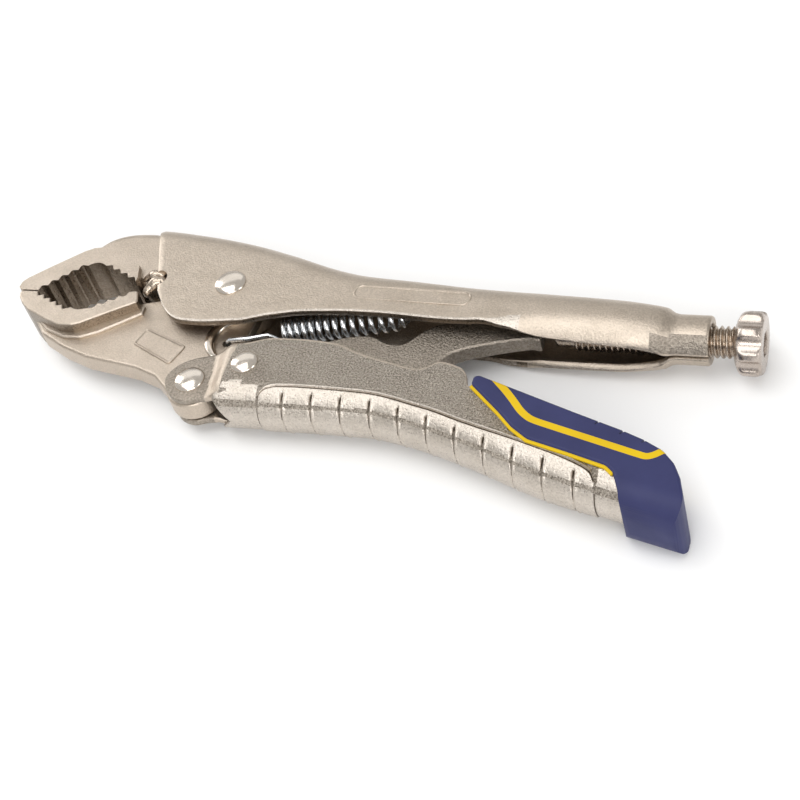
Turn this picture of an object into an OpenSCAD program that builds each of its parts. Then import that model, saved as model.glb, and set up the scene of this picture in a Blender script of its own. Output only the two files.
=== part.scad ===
// Locking pliers with curved jaws, lying on their side.
// X runs along the adjusting screw towards its knob, Y from the lower handle to the
// upper handle, Z through the thickness. All drawing is done about the screw axis at
// the middle of the thickness, and place() moves it to the middle of the underside.

/* [Sheet metal] */
// Sheet thickness of both handles
sheet = 1.7; // [1.6:0.05:1.75]
// Outer half width of the upper handle's channel
upper_half = 6.3; // [6.25:0.05:6.4]
// Outer half width of the lower handle's channel
lower_half = 6.4; // [6.35:0.05:6.4]

/* [Jaws] */
// Half thickness of the toothed pads
pad_half = 5.9; // [5.7:0.1:6.2]
// Half thickness of the movable jaw's plate
plate_half = 2.5; // [2.4:0.05:2.55]
// Depth of a tooth
tooth_depth = 0.85; // [0.5:0.05:1]

/* [Screw] */
// Thread's outer radius
screw_r = 3.4; // [3.3:0.05:3.4]
// Distance from one thread to the next
thread_pitch = 1.27; // [1:0.01:1.5]
// Knob's outer radius
knob_r = 6.9; // [6.5:0.1:7.2]
// Width of the hexagonal socket across its flats
hex_flats = 5; // [4:0.5:5]

/* [Grip] */
// Outer half width of the moulded grip
grip_half = 7.6; // [7.55:0.05:7.8]
// Width of the inlaid stripe
stripe_w = 1.9; // [1.2:0.1:2.4]

/* [Hidden] */
$fn = 48;

// Middle of the whole object in X and Y, in the drawing frame
middle_x = -79.45;
middle_y = -13.35;

// Pivots, all parallel to Z
jaw_pivot = [-112.5, 4.6];
handle_pivot = [-112.8, -23.2];
toggle_pivot = [-100.4, -19];
jaw_pivot_r = 3;
handle_pivot_r = 2.5;
toggle_pivot_r = 2;
running_gap = 0.05;
inner_half = upper_half - sheet;
shank_half = inner_half - 0.1;
// Height of the screw's axis over the drawing frame's X axis
screw_y = -0.3;

// Upper handle: station, then height of the back
upper_top = [
    [-130, 24.3], [-120, 22.95], [-110.5, 20.75], [-100, 17.2], [-88.4, 13.45], [-81.5, 12],
    [-68, 10.8], [-48, 8.9], [-22, 7.5], [-16.2, 7], [-12, 6.4], [-10.2, 5.4], [-9, 5.16],
    [-2.4, 5.16]
];
// Station, then half width
upper_width = [
    [-130, upper_half], [-60, upper_half], [-48, 7], [-38, 7.4], [-22, 7.35], [-16.2, 6.85],
    [-12, 6.2], [-10.2, 5.3], [-9, 5.1], [-2.4, 5.1]
];
// Station, then height at which the straight wall ends
upper_edge = [
    [-130, 1.4], [-129.2, -0.9], [-128.1, -3.5], [-126.6, -5.5], [-124.8, -6.7], [-122.5, -7.2],
    [-118, -7.35], [-114.2, -7.1], [-110.4, -6.7], [-106.7, -6.3], [-103, -5.2], [-99.4, -4.2],
    [-92.6, -2.8], [-87.9, -2.4], [-80.9, -2.05], [-74, -2.1], [-69, -2.4], [-62, -2.9],
    [-52.8, -3.2], [-48, -2.6], [-44, -1.6], [-38, -0.3], [-2.4, -0.3]
];
// Station, then how far the wall curls in under the screw, in degrees
upper_curl = [
    [-130, 3], [-52, 3], [-45, 24], [-38, 48], [-30, 54], [-18, 62], [-13, 72], [-10, 84], [-2.4, 84]
];
front_lean = -0.37;
lean_foot = 0.8;
lean_end = -100;
upper_stations = [
    -130, -129.2, -128.1, -126.6, -124.8, -122.5, -118, -114.2, -110.4, -106.7, -103, -99.4,
    -92.6, -86, -81.5, -74, -69, -62, -57, -52, -48, -44, -38, -30, -22, -16.2, -12, -10.2, -9, -2.4
];

// Lower handle: station, then height of the wall's upper edge
lower_edge = [
    [-104, -13.4], [-95.7, -11.2], [-89.7, -11.1], [-81.6, -11.7], [-74.6, -14.3],
    [-67.9, -16.1], [-60.7, -17.6], [-59.4, -17.3], [-56.1, -15.3], [-51.4, -16.6],
    [-49.8, -18.2], [-48.6, -21.2], [-46, -22.2], [-40, -24], [-25, -29.4], [-14, -33.4],
    [-4, -38.5]
];
// Station, then depth of the back
lower_back = [
    [-104, -30.9], [-82, -30.5], [-71, -30.6], [-62.3, -31.9], [-55.8, -33.5], [-42.6, -37.9],
    [-36.8, -40.2], [-28.5, -43.1], [-17.4, -45.9], [-12.3, -47.2], [-4, -49.4]
];
lower_stations = [
    -104, -100, -95.7, -88, -81.6, -74.6, -71, -67.9, -62.3, -59.4, -56.1, -53.6, -51.4,
    -49.8, -48.6, -46, -40, -32, -25, -17.4, -10, -4
];

// Cross-section steps
arc_steps = 8;
curl_steps = 2;

// Smooth curve through the pairs of a table
function span(x, t, i = 0) = i >= len(t) - 2 || x < t[i + 1][0] ? i : span(x, t, i + 1);
function rise(a, b) = (b[1] - a[1]) / (b[0] - a[0]);
function slope(t, i) =
    i == 0 || i == len(t) - 1 ? 0
    : let (before = rise(t[i - 1], t[i]), after = rise(t[i], t[i + 1]))
        before * after <= 0 ? 0 : 2 * before * after / (before + after);
function curve(x, t) = let (
    i = span(x, t),
    h = t[i + 1][0] - t[i][0],
    u = max(0, min(1, (x - t[i][0]) / h)),
    v = 1 - u
) t[i][1] * (1 + 2 * u) * v * v + slope(t, i) * h * u * v * v
    + t[i + 1][1] * u * u * (3 - 2 * u) - slope(t, i + 1) * h * u * u * v;

// Closed skin through a row of rings with equal numbers of points. Each ring is an
// outer line followed by its inner line run backwards, and the ends close between them.
module loft(rings) {
    n = len(rings[0]);
    last = len(rings) - 1;
    sides = [
        for (j = [0:last - 1])
            for (i = [0:n - 1])
                each [
                    [j * n + i, j * n + (i + 1) % n, (j + 1) * n + i],
                    [j * n + (i + 1) % n, (j + 1) * n + (i + 1) % n, (j + 1) * n + i]
                ]
    ];
    first_cap = [
        for (i = [0:n / 2 - 2])
            each [[i + 1, i, n - 2 - i], [i, n - 1 - i, n - 2 - i]]
    ];
    last_cap = [for (f = first_cap) [for (v = [2:-1:0]) last * n + f[v]]];
    polyhedron([for (r = rings) each r], concat(sides, first_cap, last_cap), convexity = 10);
}

// One side of the upper handle's wall section, from the near lip over the back
function upper_line(s, w) = let (
    back = curve(s, upper_top) - curve(s, upper_width),
    foot = curve(s, upper_edge),
    curl = curve(s, upper_curl)
) concat(
    [for (k = [curl_steps:-1:0]) let (a = -curl * k / curl_steps) [foot + w * sin(a), w * cos(a)]],
    [for (k = [0:arc_steps]) let (a = 180 * k / arc_steps) [back + w * sin(a), w * cos(a)]],
    [for (k = [0:curl_steps]) let (a = 180 + curl * k / curl_steps) [foot + w * sin(a), w * cos(a)]]
);

function flipped(list) = [for (i = [len(list) - 1:-1:0]) list[i]];

function upper_ring(s) = let (
    w = curve(s, upper_width),
    lean = front_lean * max(0, (lean_end - s) / (lean_end - upper_stations[0])),
    line = concat(upper_line(s, w), flipped(upper_line(s, w - sheet)))
) [for (p = line) [s + lean * (p[0] - lean_foot), p[0], p[1]]];

// Lower handle's section: far wall, round back, near wall
function lower_line(s, w) = let (
    centre = curve(s, lower_back) + lower_half,
    top = curve(s, lower_edge)
) concat(
    [[top, -w]],
    [for (k = [0:arc_steps]) let (a = 180 + 180 * k / arc_steps) [centre + w * sin(a), w * cos(a)]],
    [[top, w]]
);

function lower_ring(s) = let (
    line = concat(lower_line(s, lower_half), flipped(lower_line(s, lower_half - sheet)))
) [for (p = line) [s, p[0], p[1]]];

// Row of teeth along a line: a zigzag to the left of the direction of travel
function teeth(a, b, count, depth) = let (
    step = (b - a) / count,
    side = depth * [-step[1], step[0]] / norm(step)
) [for (k = [0:count - 1]) each [a + step * k, a + step * (k + 0.5) + side]];

function arc(centre, r, from, to, steps) = [
    for (k = [0:steps])
        let (a = from + (to - from) * k / steps) centre + r * [cos(a), sin(a)]
];

// Moves from the drawing frame to the finished frame
module place() {
    translate([-middle_x, -middle_y, grip_half]) children();
}

// Outline extruded evenly to both sides of the middle plane
module slab(points, half) {
    linear_extrude(height = 2 * half, center = true) polygon(points);
}

module disc(at, r, half) {
    translate([at[0], at[1], 0]) cylinder(r = r, h = 2 * half, center = true);
}

// Rivet with a domed head on each side
module rivet(at, r, head_r, half, dome) {
    dome_r = (head_r * head_r + dome * dome) / (2 * dome);
    reach = asin(head_r / dome_r);
    profile = concat(
        [[0, 0], [r, 0], [r, half], [head_r, half]],
        [
            for (k = [0:6])
                let (a = reach * (1 - k / 6)) [dome_r * sin(a), half + dome - dome_r + dome_r * cos(a)]
        ]
    );
    translate([at[0], at[1], 0])
        for (side = [0, 1])
            mirror([0, 0, side]) rotate_extrude() polygon(profile);
}

// Mouth between the jaws: toothed flanks with a smooth round between them
upper_mouth = concat(
    teeth([-161.7, 0], [-152, 8.9], 5, tooth_depth),
    arc([-149.4, 6.7], 3.1, 140, 58, 6),
    teeth([-147, 8.9], [-137.2, 4.2], 4, tooth_depth)
);
lower_mouth = concat(
    teeth([-137.6, 1], [-146.4, -4.2], 4, tooth_depth),
    arc([-148.6, -1.6], 3.6, -64, -124, 6),
    teeth([-151.2, -4.9], [-161.7, 0], 5, tooth_depth)
);
parting_gap = 0.05;

module upper_handle() color([0.79, 0.75, 0.69]) place() {
    difference() {
        loft([for (s = upper_stations) upper_ring(s)]);
        disc(jaw_pivot, jaw_pivot_r + 0.01, 10);
        // Weld slots in the front edge
        disc([-131.6, 5.4], 2.3, 10);
        // Way for the screw
        translate([-18, screw_y, 0]) rotate([0, 90, 0])
            cylinder(r = screw_r + running_gap, h = 20);
    }
    // Lug that the spring hooks over
    translate([-62.5, 4.6, -1]) cube([1.4, 4.6, 2]);
}

module fixed_jaw() color([0.82, 0.78, 0.73]) place() difference() {
    union() {
        slab([
            [-161, parting_gap], [-166.6, parting_gap], [-167.4, 0.7], [-167.3, 2.6], [-166, 4],
            [-161.2, 8.2], [-154.8, 13.4], [-151, 15.7], [-147.5, 13.9], [-139.5, 11],
            [-138.2, 10], [-136.9, 4], [-141, 4], [-149, 8]
        ], pad_half);
        slab([
            [-160, 8.4], [-156.4, 12.2], [-153.4, 16.2], [-151, 18.4], [-146, 20.3],
            [-140, 21.2], [-138.2, 20.9], [-137.2, 18.8], [-120, 17.4], [-114, 15.7],
            [-114, 12], [-121, 5.8], [-138, 5.8], [-150, 9.5]
        ], shank_half);
        slab([
            [-156, 12], [-154.5, 15.5], [-151, 19.6], [-146, 21.9], [-140, 22.9],
            [-138.4, 22.6], [-137.4, 20.9], [-121, 18.8], [-115, 17.2], [-115, 14], [-140, 14]
        ], 3.2);
    }
    slab(concat(upper_mouth, [[-136, 0], [-136, -4], [-161, -4]]), 10);
    disc(jaw_pivot, 9.3, 10);
}

module jaw_welds() color([0.7, 0.66, 0.6]) place()
    for (side = [-1, 1])
        translate([-131.4, 5.4, side * (shank_half + 0.45)])
            cylinder(r = 2.1, h = 0.9, center = true);

module jaw_pivot_rivet() color([0.88, 0.85, 0.8]) place()
    rivet(jaw_pivot, jaw_pivot_r, 3.75, upper_half + 0.01, 1.2);

module handle_rivet() color([0.88, 0.85, 0.8]) place()
    rivet(handle_pivot, handle_pivot_r, 3.5, ear_outer + 0.01, 1.2);

module toggle_rivet() color([0.88, 0.85, 0.8]) place()
    rivet(toggle_pivot, toggle_pivot_r, 3.1, lower_half + 0.01, 1.1);

module movable_jaw() color([0.8, 0.76, 0.7]) place() difference() {
    union() {
        // Toothed pad
        slab([
            [-161, -parting_gap], [-166, -parting_gap], [-166.4, -0.7], [-166.1, -1.9],
            [-164.4, -4], [-161.9, -6], [-155.5, -9], [-150.2, -10.4], [-146.2, -9.7],
            [-140.9, -6.2], [-134.3, -2.2], [-135.3, 1.4], [-138.4, 1.3], [-150, -4]
        ], pad_half);
        // Shoulder under the pad
        slab([
            [-160, -6.5], [-156.2, -9.9], [-150.7, -11.9], [-146.5, -11.8], [-142.3, -9.9],
            [-133.2, -3.4], [-133.4, -1], [-140, -1.5], [-150, -6]
        ], 4.2);
        // Plate
        slab([
            [-162, -5.2], [-157.3, -10.6], [-150.3, -14.2], [-143, -16.8], [-135, -18.1],
            [-129.2, -19.1], [-123.3, -21.2], [-119.4, -24.6], [-113, -28], [-107, -20],
            [-112, -14.4], [-113.6, -12.6], [-114.9, -9.1], [-113, -3], [-105, 3],
            [-112, 11], [-121.4, 4.4], [-134.5, 1], [-150, -6]
        ], plate_half);
        // Thin web that the spring hooks into
        slab([[-117, -17], [-106.9, -21], [-106, -12], [-104.8, 2], [-117, 2]], 1.2);
        disc(jaw_pivot, 8.5, shank_half);
        disc(handle_pivot, 6, plate_half);
        // Blank raised label
        slab([[-132.2, -12.2], [-130.6, -7.2], [-118.8, -12], [-120.9, -17.6]], plate_half + 0.3);
    }
    slab(concat(lower_mouth, [[-161, 3], [-136, 3]]), 10);
    disc(jaw_pivot, jaw_pivot_r + running_gap, 10);
    disc(handle_pivot, handle_pivot_r + running_gap, 10);
    disc(spring_eye, 1.1, 10);
}

// Ears that the sheet steps in to, beside the movable jaw
ear_inner = plate_half + 0.15;
ear_outer = ear_inner + sheet;

module lower_handle() color([0.74, 0.71, 0.66]) place() difference() {
    union() {
        loft([for (s = lower_stations) lower_ring(s)]);
        intersection() {
            for (side = [0, 1])
                mirror([0, 0, side]) rotate([90, 0, 0])
                    linear_extrude(height = 60, center = true) polygon([
                        [-120, ear_inner], [-108.2, ear_inner], [-104.4, lower_half - sheet + 0.1],
                        [-101.5, lower_half - sheet + 0.1], [-101.5, lower_half - 0.1],
                        [-104.8, lower_half - 0.1], [-108.8, ear_outer], [-120, ear_outer]
                    ]);
            union() {
                disc(handle_pivot, 6, 10);
                slab([
                    [-112.8, -17.2], [-109.2, -14.9], [-104.2, -13.9], [-98, -12.9], [-98, -23],
                    [-103.9, -24.8], [-112.8, -29.2]
                ], 10);
            }
        }
        // Stop that the toggle link comes down on
        translate([-56, -18.4, 0]) cube([4.6, 1.6, 2 * lower_half - 1], center = true);
    }
    disc(handle_pivot, handle_pivot_r + 0.01, 10);
    disc(toggle_pivot, toggle_pivot_r + 0.01, 10);
}

module toggle_link() color([0.72, 0.69, 0.64]) place() difference() {
    union() {
        disc(toggle_pivot, 4.6, lower_half - sheet - 0.2);
        slab([
            [-104.2, -16.5], [-99, -13.6], [-84.6, -7.2], [-79.5, -5.6], [-75.4, -5.5],
            [-73.2, -6.6], [-70.4, -7.4], [-67.6, -6.9], [-64.2, -3], [-60, -0.4], [-52, 2],
            [-42, 3], [-39.6, 2.2], [-38.4, 0.6], [-38.1, -3.9], [-40.1, -3.8], [-44.4, -4.7],
            [-51.7, -6.9], [-56.2, -8.9], [-58.4, -11.1], [-60.5, -14.6], [-66, -17],
            [-84, -21], [-98, -23.2], [-102.4, -22.8]
        ], 2);
    }
    disc(toggle_pivot, toggle_pivot_r + running_gap, 10);
}

// Extension spring between the movable jaw's web and the upper handle's lug
spring_eye = [-109.9, -9.3];
spring_front = [-99.5, -4.4];
spring_rear = [-66.5, 3.4];
spring_r = 3.1;
spring_wire = 1.1;
spring_coils = 22;

module spring_rod(a, b) {
    run = b - a;
    translate([a[0], a[1], 0]) rotate([0, 0, atan2(run[1], run[0])]) rotate([0, 90, 0])
        cylinder(d = spring_wire, h = norm(run));
}

module return_spring() color([0.85, 0.87, 0.88]) place() {
    run = spring_rear - spring_front;
    pitch = norm(run) / spring_coils;
    translate([spring_front[0], spring_front[1], 0]) rotate([0, 0, atan2(run[1], run[0])])
        rotate([0, 90, 0]) rotate_extrude() polygon(concat(
            [[spring_r - spring_wire, norm(run)], [spring_r - spring_wire, 0]],
            [
                for (k = [0:spring_coils - 1])
                    each [[spring_r - 0.5, k * pitch], [spring_r, (k + 0.5) * pitch]]
            ],
            [[spring_r - 0.5, norm(run)]]
        ));
    // Hook: the wire runs beside the web and turns through its eye
    translate([0, 0, 1.85]) spring_rod(spring_eye + [0, 0.2], spring_front + [0.6, -2]);
    translate([spring_eye[0], spring_eye[1] + 0.2, 0.2])
        cylinder(d = spring_wire, h = 4.4, center = true);
    spring_rod(spring_rear + [-0.5, 2.5], [-63.3, 6.6]);
}

module adjusting_screw() color([0.66, 0.63, 0.58]) place() {
    root_r = screw_r - 0.6;
    thread_from = -31;
    thread_to = 2.4;
    count = floor((thread_to - thread_from) / thread_pitch);
    translate([0, screw_y, 0]) rotate([0, 90, 0]) rotate_extrude() polygon(concat(
        [[0, 7.1], [0, -35.6], [1.9, -35.6], [2.5, -35], [2.6, thread_from]],
        [
            for (k = [0:count - 1])
                let (x = thread_from + k * thread_pitch)
                    each [
                        [root_r, x + 0.1 * thread_pitch], [screw_r, x + 0.45 * thread_pitch],
                        [screw_r, x + 0.6 * thread_pitch], [root_r, x + 0.95 * thread_pitch]
                    ]
        ],
        [[2.6, thread_to], [2.6, 7.1]]
    ));
}

module screw_knob() color([0.8, 0.77, 0.71]) place() {
    knob_start = 2.6;
    knob_end = 8.5;
    lobes = 8;
    translate([0, screw_y, 0]) difference() {
        rotate([0, 90, 0]) rotate_extrude() polygon([
            [0, knob_start], [4.2, knob_start], [5.2, 3.6], [knob_r - 0.6, 3.9], [knob_r, 4.6],
            [knob_r, knob_end - 0.9], [knob_r - 0.9, knob_end], [0, knob_end]
        ]);
        rotate([0, 90, 0]) cylinder(r = 2.6 + running_gap, h = 7.15);
        translate([7.1, 0, 0]) rotate([0, 90, 0]) cylinder(d = hex_flats / cos(30), h = 5, $fn = 6);
        for (k = [0:lobes - 1])
            rotate([360 * k / lobes, 0, 0]) translate([0, 0, knob_r + 1.4])
                rotate([0, 90, 0]) cylinder(r = 2.4, h = 20);
    }
}

// Moulded grip, drawn clockwise: upper line, end, and front lip back to the tip
grip_top = [
    [-47.6, -19.6], [-46, -19.4], [-35.5, -23.3], [-25, -27.2], [-14.4, -31], [-9.6, -33],
    [-5.6, -35.2], [-2.8, -38.2], [-1.1, -41.5], [0.4, -46], [0.5, -46.8]
];
grip_lip = [
    [-11, -46.2], [-12.2, -44.8], [-14, -41.6], [-15.8, -40], [-23.9, -37.5], [-32.7, -35],
    [-36.6, -32.2], [-40.3, -28.5], [-47.6, -21.9]
];
// Line just over the upper edge of the metal inside, from the tip to the handle's end
grip_inside = [
    [-47.6, -21.4], [-46.2, -21.8], [-40, -23.6], [-25, -29], [-14, -33], [-3.9, -38.1]
];
grip_end_x = -3.9;
stripe = [
    [-41.8, -21.2], [-35.7, -27.9], [-32.2, -30.4], [-20.8, -33.8], [-14.3, -35.7],
    [-8.3, -37.3], [-5.4, -35.6]
];
base_half = 7;

// Band of even width along a row of points
function band(line, w) = let (
    last = len(line) - 1,
    along = [
        for (i = [0:last])
            let (d = line[min(i + 1, last)] - line[max(i - 1, 0)]) d / norm(d)
    ],
    side = [for (d = along) [-d[1], d[0]] * w / 2]
) concat(
    [for (i = [0:last]) line[i] + side[i]],
    [for (i = [last:-1:0]) line[i] - side[i]]
);

module cheeks(points, from, to) {
    for (side = [0, 1])
        mirror([0, 0, side]) translate([0, 0, from]) linear_extrude(height = to - from) polygon(points);
}

module grip_base() color([0.94, 0.77, 0]) place() {
    lip_shown = 0.45;
    shown_lip = [for (p = grip_lip) p + lip_shown * [-0.5, -0.85]];
    cheeks(
        concat(grip_inside, [[grip_end_x, -46.6]], shown_lip),
        lower_half + 0.05, base_half
    );
    cheeks(band(stripe, stripe_w - 0.04), base_half, grip_half - 0.05);
}

module grip_cover() color([0.29, 0.3, 0.49]) place() {
    difference() {
        union() {
            cheeks(concat(grip_top, grip_lip), base_half, grip_half);
            // Bar over the channel's open side, and the cap round its end
            slab(concat(grip_top, [[grip_end_x, -46.9]], flipped(grip_inside)), grip_half);
        }
        cheeks(band(stripe, stripe_w), base_half, grip_half + 1);
    }
    // Rounded underside of the cap, in steps
    slab([[grip_end_x, -46], [0.4, -46], [0.2, -47.4], [-1.3, -49.1], [grip_end_x, -48.7]], 6.2);
    slab([[grip_end_x, -46], [0.4, -46], [0.3, -48], [-1, -50], [grip_end_x, -49.6]], 4.2);
    slab([
        [grip_end_x, -46], [0.4, -46], [0.4, -48.6], [-0.6, -50.5], [-1.9, -51],
        [grip_end_x, -50.4]
    ], 2);
    slab([[-10.4, -48], [grip_end_x + 1, -49.7], [grip_end_x + 1, -50.5], [-10.4, -48.9]], 4.2);
}

upper_handle();
fixed_jaw();
jaw_welds();
jaw_pivot_rivet();
return_spring();
movable_jaw();
lower_handle();
handle_rivet();
toggle_rivet();
toggle_link();
grip_base();
grip_cover();
adjusting_screw();
screw_knob();
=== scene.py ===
"""Looks of the locking pliers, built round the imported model.

Shapes are drawn in millimetres in the drawing frame of the part: X along the adjusting
screw towards its knob, Y from the lower handle to the upper handle, Z through the
thickness with 0 in the middle. put() moves them to the model's frame, in metres.
"""

import math

import bmesh
import bpy
import numpy as np
from mathutils import Matrix, Vector
from mathutils.bvhtree import BVHTree


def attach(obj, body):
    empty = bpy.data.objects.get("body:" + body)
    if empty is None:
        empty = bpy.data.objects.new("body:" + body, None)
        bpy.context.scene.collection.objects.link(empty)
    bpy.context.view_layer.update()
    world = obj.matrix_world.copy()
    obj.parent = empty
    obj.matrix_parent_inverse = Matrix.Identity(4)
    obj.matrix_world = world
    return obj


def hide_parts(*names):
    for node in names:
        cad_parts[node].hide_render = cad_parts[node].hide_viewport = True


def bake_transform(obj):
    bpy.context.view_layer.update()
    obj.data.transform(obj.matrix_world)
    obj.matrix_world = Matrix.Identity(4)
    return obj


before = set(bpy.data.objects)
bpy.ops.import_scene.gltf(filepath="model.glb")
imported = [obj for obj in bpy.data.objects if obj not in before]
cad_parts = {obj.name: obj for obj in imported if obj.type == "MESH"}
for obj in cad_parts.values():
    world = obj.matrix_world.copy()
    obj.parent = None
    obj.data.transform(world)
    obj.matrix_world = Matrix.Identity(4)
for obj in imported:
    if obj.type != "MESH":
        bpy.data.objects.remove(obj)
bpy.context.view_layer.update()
scene = bpy.context.scene

SHIFT = np.array([79.45, 13.35, 7.6])
SHEET = 1.7
UPPER_HALF = 6.3
LOWER_HALF = 6.4
PAD_HALF = 5.9
PLATE_HALF = 2.5
JAW_PIVOT = (-112.5, 4.6)
HANDLE_PIVOT = (-112.8, -23.2)
TOGGLE_PIVOT = (-100.4, -19.0)
SCREW_Y = -0.3
GRIP_HALF = 7.6
SHANK_HALF = 4.5
TOOTH_DEPTH = 0.85
LIP_REACH = 0.42
SIDES = ((1, "near"), (-1, "far"))


def to_model(points):
    """Points of the drawing frame, in the model's frame."""
    return (np.asarray(points, float) + SHIFT) / 1000


def drawn(point):
    """A point of the model's frame, in the drawing frame."""
    return np.array(point) * 1000 - SHIFT


# ---------------------------------------------------------------- materials


class Shader:
    """A small helper round one material's node tree."""

    def __init__(self, name):
        self.material = bpy.data.materials.new(name)
        self.material.use_nodes = True
        self.tree = self.material.node_tree
        self.bsdf = self.tree.nodes["Principled BSDF"]
        self.coords = self.tree.nodes.new("ShaderNodeTexCoord").outputs["Object"]

    def node(self, kind):
        return self.tree.nodes.new(kind)

    def link(self, a, b):
        self.tree.links.new(a, b)

    def noise(self, scale, detail, rough):
        n = self.node("ShaderNodeTexNoise")
        n.inputs["Scale"].default_value = scale
        n.inputs["Detail"].default_value = detail
        n.inputs["Roughness"].default_value = rough
        self.link(self.coords, n.inputs["Vector"])
        return n.outputs["Fac"]

    def ramp(self, source, low, high, a, b):
        n = self.node("ShaderNodeMapRange")
        for key, value in zip(("From Min", "From Max", "To Min", "To Max"), (low, high, a, b)):
            n.inputs[key].default_value = value
        self.link(source, n.inputs["Value"])
        return n.outputs["Result"]

    def mix(self, fac, a, b):
        """Blend of two colours, each a tuple or a socket, by a number or a socket."""
        n = self.node("ShaderNodeMix")
        n.data_type = "RGBA"
        for socket, value in ((n.inputs["Factor"], fac), (n.inputs[6], a), (n.inputs[7], b)):
            if isinstance(value, tuple):
                socket.default_value = (*value, 1)
            elif isinstance(value, float):
                socket.default_value = value
            else:
                self.link(value, socket)
        return n.outputs[2]

    def bump(self, height, strength, distance, under=None):
        n = self.node("ShaderNodeBump")
        n.inputs["Strength"].default_value = strength
        n.inputs["Distance"].default_value = distance
        self.link(height, n.inputs["Height"])
        if under is not None:
            self.link(under, n.inputs["Normal"])
        return n.outputs["Normal"]


def metal(name, light, dark, rough, grain, grain_depth, waves, speckle):
    """Nickel-plated or bare steel: fine grain, slow waves, patchy tone and gloss."""
    s = Shader(name)
    patches = s.noise(140, 3, 0.6)
    fine = s.noise(grain, 3, 0.65)
    tone = s.mix(s.ramp(patches, 0.3, 0.7, 0, 1), dark, light)
    speck = s.mix(s.ramp(fine, 0.36, 0.64, 0, 1), tuple(0.5 * c for c in dark), light)
    s.link(s.mix(speckle, tone, speck), s.bsdf.inputs["Base Color"])
    s.bsdf.inputs["Metallic"].default_value = 1.0
    s.link(s.ramp(fine, 0.25, 0.75, rough - 0.07, rough + 0.08), s.bsdf.inputs["Roughness"])
    slow = s.bump(s.noise(260, 2, 0.5), waves, 0.0004)
    s.link(s.bump(fine, 0.9, grain_depth, slow), s.bsdf.inputs["Normal"])
    return s.material


def plastic(name, light, dark, rough):
    """Moulded grip material: faint mottling, fine matt skin and small rubbed patches."""
    s = Shader(name)
    broad = s.noise(90, 3, 0.6)
    fine = s.noise(2600, 2, 0.6)
    s.link(s.mix(s.ramp(broad, 0.3, 0.7, 0, 1), dark, light), s.bsdf.inputs["Base Color"])
    s.link(s.ramp(broad, 0.3, 0.7, rough + 0.05, rough - 0.05), s.bsdf.inputs["Roughness"])
    s.bsdf.inputs["Specular IOR Level"].default_value = 0.3
    slow = s.bump(s.noise(150, 2, 0.5), 0.25, 0.0004)
    s.link(s.bump(fine, 0.35, 0.00003, slow), s.bsdf.inputs["Normal"])
    return s.material


NICKEL = metal("nickel_sheet", (0.61, 0.53, 0.445), (0.52, 0.445, 0.365),
               0.36, 2400, 0.00012, 0.3, 0.35)
BLASTED = metal("nickel_blasted", (0.56, 0.50, 0.43), (0.25, 0.215, 0.175),
                0.38, 2500, 0.0006, 0.3, 0.8)
# lighter nickel: the ribbed back's own finish, and a painted highlight along the upper handle's
# lower corner
RIBBED_AND_HIGHLIGHT = metal("nickel_ribbed_and_painted_highlight", (0.66, 0.60, 0.535), (0.54, 0.485, 0.42),
               0.3, 2200, 0.00016, 0.4, 0.35)
FORGED = metal("nickel_forged", (0.62, 0.535, 0.45), (0.52, 0.445, 0.365),
               0.36, 2700, 0.0001, 0.2, 0.3)
# dark nickel laid on faces that turn away from the light: painted shade
SHADED = metal("nickel_painted_shade", (0.36, 0.30, 0.24), (0.20, 0.165, 0.13),
               0.3, 2000, 0.00012, 0.3, 0.4)
# darker nickel for the fixed jaw pad's upright faces in and round the mouth: painted shade
MOUTH_SHADE = metal("nickel_mouth_painted_shade", (0.52, 0.44, 0.36), (0.34, 0.28, 0.22), 0.3, 2000, 0.00012, 0.3, 0.4)
# darker nickel: the toggle link's own finish, the stepped-in front of the ears, and painted shade
# under the upper handle
DARK_NICKEL = metal("nickel_link", (0.45, 0.395, 0.335), (0.30, 0.26, 0.215), 0.4, 2000, 0.0003, 0.3, 0.6)
# near-black metal in the panel's grooves and round its border: painted shade
GROOVE_SHADE = metal("groove_painted_shade", (0.14, 0.115, 0.09), (0.08, 0.065, 0.05), 0.5, 2000, 0.0001, 0.2, 0.4)
WELD = metal("weld_metal", (0.60, 0.51, 0.42), (0.34, 0.28, 0.22), 0.25, 1500, 0.00008, 0.6, 0.4)
RIVET = metal("rivet_steel", (0.82, 0.75, 0.67), (0.72, 0.65, 0.57), 0.17, 1500, 0.00001, 0.15, 0.1)
ZINC = metal("spring_zinc", (0.90, 0.92, 0.94), (0.76, 0.78, 0.80), 0.25, 1800, 0.00001, 0.1, 0.15)
SCREW = metal("screw_steel", (0.58, 0.49, 0.41), (0.34, 0.28, 0.22), 0.26, 2000, 0.00004, 0.2, 0.35)
KNOB = metal("knob_steel", (0.58, 0.51, 0.46), (0.44, 0.38, 0.33), 0.27, 1800, 0.00003, 0.2, 0.2)
BLUE = plastic("grip_blue", (0.030, 0.034, 0.112), (0.023, 0.026, 0.088), 0.52)
YELLOW = plastic("grip_yellow", (0.68, 0.46, 0.0), (0.61, 0.40, 0.0), 0.45)


# ---------------------------------------------------------------- mesh helpers


def new_object(name, verts, faces):
    """Object in the scene, from points in the drawing frame."""
    mesh = bpy.data.meshes.new(name)
    mesh.from_pydata([tuple(p) for p in to_model(verts)], [], [tuple(f) for f in faces])
    mesh.validate()
    made = bpy.data.objects.new(name, mesh)
    scene.collection.objects.link(made)
    tidy_normals(made)
    return made


def put(name, verts, faces, body, slot, material, angle=38, replaces=()):
    """New piece."""
    piece = new_object(name, verts, faces)
    piece.data.materials.append(material)
    smooth(piece, angle)
    if body:
        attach(piece, body)
    if replaces:
        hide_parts(*replaces)
    return piece


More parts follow.
